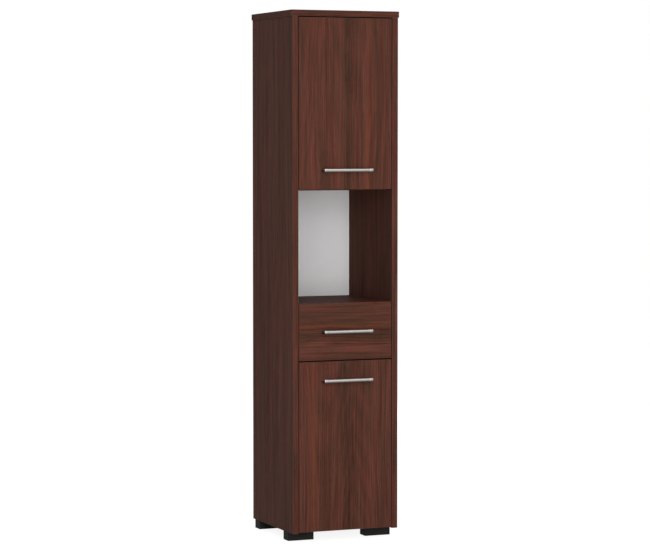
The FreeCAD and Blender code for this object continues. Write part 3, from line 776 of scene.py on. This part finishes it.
# ---------------------------------------------------------------- operators
class CABINET_OT_boards(bpy.types.Operator):
    """Give every board its stretch of wood-grain laminate"""

    bl_idname = "cabinet.boards"
    bl_label = "Laminate boards"

    def execute(self, context):
        look = context.scene.cabinet_laminate
        for board in BOARDS:
            cover(laminate(board, look), board.node)
        return {"FINISHED"}


class CABINET_OT_hardboard(bpy.types.Operator):
    """Finish the back panel and the drawer bottom"""

    bl_idname = "cabinet.hardboard"
    bl_label = "Hardboard"

    def execute(self, context):
        cover(hardboard(context.scene.cabinet_plain), "back_panel", "drawer_bottom")
        return {"FINISHED"}


class CABINET_OT_handles(bpy.types.Operator):
    """Brush the three bar handles"""

    bl_idname = "cabinet.handles"
    bl_label = "Handles"

    def execute(self, context):
        look = context.scene.cabinet_metal
        for handle in ("upper_door_handle", "drawer_handle", "lower_door_handle"):
            cover(brushed_bar(handle, look.satin, look.satin_roughness, look.brush_width),
                  handle)
        return {"FINISHED"}


class CABINET_OT_hinges(bpy.types.Operator):
    """Plate the hinge cups, arms, plates and pins"""

    bl_idname = "cabinet.hinges"
    bl_label = "Hinges"

    def execute(self, context):
        look = context.scene.cabinet_metal
        nickel = plated_metal("nickel_steel", look.nickel, roughness=0.30, spot_size=0.004)
        cover(nickel, *(name for name in frame["nodes"] if "hinge" in name))
        return {"FINISHED"}


class CABINET_OT_runners(bpy.types.Operator):
    """Enamel the drawer runners and finish their rollers"""

    bl_idname = "cabinet.runners"
    bl_label = "Drawer runners"

    def execute(self, context):
        metal = context.scene.cabinet_metal
        plain = context.scene.cabinet_plain
        enamel = moulded("coated_steel", metal.enamel, roughness=0.36, grain_size=0.0012,
                         relief=0.00001)
        cover(enamel, *(name for name in frame["nodes"] if name.endswith("runner")))
        nylon = moulded("white_nylon", plain.nylon, roughness=0.45, grain_size=0.0008,
                        relief=0.000008)
        cover(nylon, "cabinet_rollers", "drawer_rollers")
        return {"FINISHED"}


class CABINET_OT_screws(bpy.types.Operator):
    """Cut the cross-head screws"""

    bl_idname = "cabinet.screws"
    bl_label = "Screws"

    def execute(self, context):
        look = context.scene.cabinet_screw
        zinc = plated_metal("zinc_steel", context.scene.cabinet_metal.zinc, roughness=0.34,
                            spot_size=0.002)
        for name in sorted(frame["nodes"]):
            if name.endswith("screws"):
                make_screws(name, name + "_cut", look, zinc, pointed="handle" not in name)
        cover(zinc, "back_nails", "cam_bolts", "drawer_cam_bolts", "shelf_pins")
        return {"FINISHED"}


class CABINET_OT_connectors(bpy.types.Operator):
    """Finish the cam locks and the dowels"""

    bl_idname = "cabinet.connectors"
    bl_label = "Cam locks and dowels"

    def execute(self, context):
        alloy = plated_metal("zinc_alloy", context.scene.cabinet_metal.alloy, roughness=0.46,
                             spot_size=0.003)
        cover(alloy, "cam_locks", "drawer_cam_locks")
        cover(turned_beech(context.scene.cabinet_plain), "wood_dowels", "drawer_dowels")
        return {"FINISHED"}


class CABINET_OT_feet(bpy.types.Operator):
    """Mould the four feet"""

    bl_idname = "cabinet.feet"
    bl_label = "Feet"

    def execute(self, context):
        look = context.scene.cabinet_plain
        black = moulded("black_plastic", look.black, roughness=0.52,
                        grain_size=look.grain_size, relief=0.00004, gloss=0.015)
        cover(black, *(name for name in frame["nodes"] if name.endswith("foot")))
        return {"FINISHED"}


class CABINET_OT_stage(bpy.types.Operator):
    """Set the floor, the light and the camera"""

    bl_idname = "cabinet.stage"
    bl_label = "Stage"

    def execute(self, context):
        look = context.scene.cabinet_stage
        make_floor(look)
        make_sky(context.scene, look)
        for softbox in SOFTBOXES:
            make_softbox(softbox, look.light_level)
        make_camera(context.scene, look)
        context.scene.view_settings.view_transform = "Standard"
        return {"FINISHED"}


# ---------------------------------------------------------------- stage
def seen_directly(tree):
    """1 for what the camera sees, itself or in metal and glass."""
    path = tree.node("ShaderNodeLightPath", output="Is Camera Ray")
    return path.most(path.output("Is Glossy Ray")).most(path.output("Is Transmission Ray"))


def make_floor(look):
    """A pale floor that glows white where it is seen, and keeps the shadow."""
    mesh = bpy.data.meshes.new("floor")
    half = look.floor_size / 2
    corners = [(-half, -half, 0.0), (half, -half, 0.0), (half, half, 0.0), (-half, half, 0.0)]
    mesh.from_pydata(corners, [], [(0, 1, 2, 3)])
    floor = bpy.data.objects.new("floor", mesh)
    bpy.context.scene.collection.objects.link(floor)
    material, tree = new_material("floor_paper")
    pale, soft = (tree.node("ShaderNodeBsdfDiffuse", {}, {"Color": grey(level)})
                  for level in (PALE_FLOOR, SEEN_FLOOR))
    glow = tree.node("ShaderNodeEmission", {}, {"Strength": FLOOR_GLOW})
    white = tree.node("ShaderNodeAddShader", {}, {0: soft, 1: glow})
    surface = tree.node("ShaderNodeMixShader", {}, {0: seen_directly(tree), 1: pale, 2: white})
    tree.node("ShaderNodeOutputMaterial", {}, {"Surface": surface})
    mesh.materials.append(material)


def make_sky(scene, look):
    """Even light from all round, seen as plain white."""
    world = bpy.data.worlds.new("studio")
    world.use_nodes = True
    tree = Tree(world.node_tree)
    even, white = (tree.node("ShaderNodeBackground", {}, {"Color": grey(1.0),
                                                          "Strength": strength})
                   for strength in (look.sky, 1.0))
    surface = tree.node("ShaderNodeMixShader", {}, {0: seen_directly(tree), 1: even, 2: white})
    tree.node("ShaderNodeOutputWorld", {}, {"Surface": surface})
    scene.world = world


def make_softbox(softbox, level):
    """A square area light, turned to the cabinet."""
    light = bpy.data.lights.new(softbox.name, "AREA")
    light.shape = "SQUARE"
    light.size = softbox.size
    light.energy = softbox.power * level
    lamp = bpy.data.objects.new(softbox.name, light)
    bearing = math.radians(softbox.bearing)
    lamp.location = (softbox.distance * math.sin(bearing),
                     FRONT_PLANE - softbox.distance * math.cos(bearing), softbox.height)
    aim = Vector((0.0, 0.0, LIT_HEIGHT)) - lamp.location
    lamp.rotation_euler = aim.to_track_quat("-Z", "Y").to_euler()
    bpy.context.scene.collection.objects.link(lamp)


def make_camera(scene, look):
    """The camera, a little above the middle of the cabinet and to its left."""
    data = bpy.data.cameras.new("camera")
    data.sensor_width = SENSOR_WIDTH
    data.lens = look.lens
    camera = bpy.data.objects.new("camera", data)
    camera.location = look.camera_place
    camera.rotation_euler = (math.radians(90.0) - look.camera_tilt, 0.0, -look.camera_turn)
    scene.collection.objects.link(camera)
    scene.camera = camera


class CABINET_PT_sidebar(bpy.types.Panel):
    """Lists the steps and the settings"""

    bl_idname = "CABINET_PT_sidebar"
    bl_label = "Tall bathroom cabinet"
    bl_space_type = "VIEW_3D"
    bl_region_type = "UI"
    bl_category = "Cabinet"

    def draw(self, context):
        for step in STEPS:
            self.layout.operator(step.bl_idname)
        for name in SETTINGS:
            group = getattr(context.scene, name)
            box = self.layout.box()
            for setting in group.bl_rna.properties:
                if setting.identifier not in ("rna_type", "name"):
                    box.prop(group, setting.identifier)


# ---------------------------------------------------------------- registration
STEPS = (CABINET_OT_boards, CABINET_OT_hardboard, CABINET_OT_handles, CABINET_OT_hinges,
         CABINET_OT_runners, CABINET_OT_screws, CABINET_OT_connectors, CABINET_OT_feet,
         CABINET_OT_stage)
SETTINGS = {
    "cabinet_laminate": LaminateSettings,
    "cabinet_metal": MetalSettings,
    "cabinet_plain": PlainSettings,
    "cabinet_screw": ScrewSettings,
    "cabinet_stage": StageSettings,
}
CLASSES = (*SETTINGS.values(), *STEPS, CABINET_PT_sidebar)


def register():
    for kind in CLASSES:
        bpy.utils.register_class(kind)
    for name, kind in SETTINGS.items():
        setattr(bpy.types.Scene, name, PointerProperty(type=kind))


def unregister():
    for name in SETTINGS:
        delattr(bpy.types.Scene, name)
    for kind in reversed(CLASSES):
        bpy.utils.unregister_class(kind)


def main():
    """Run every step in order."""
    register()
    for step in STEPS:
        family, name = step.bl_idname.split(".")
        getattr(getattr(bpy.ops, family), name)()


if __name__ == "__main__":
    main()
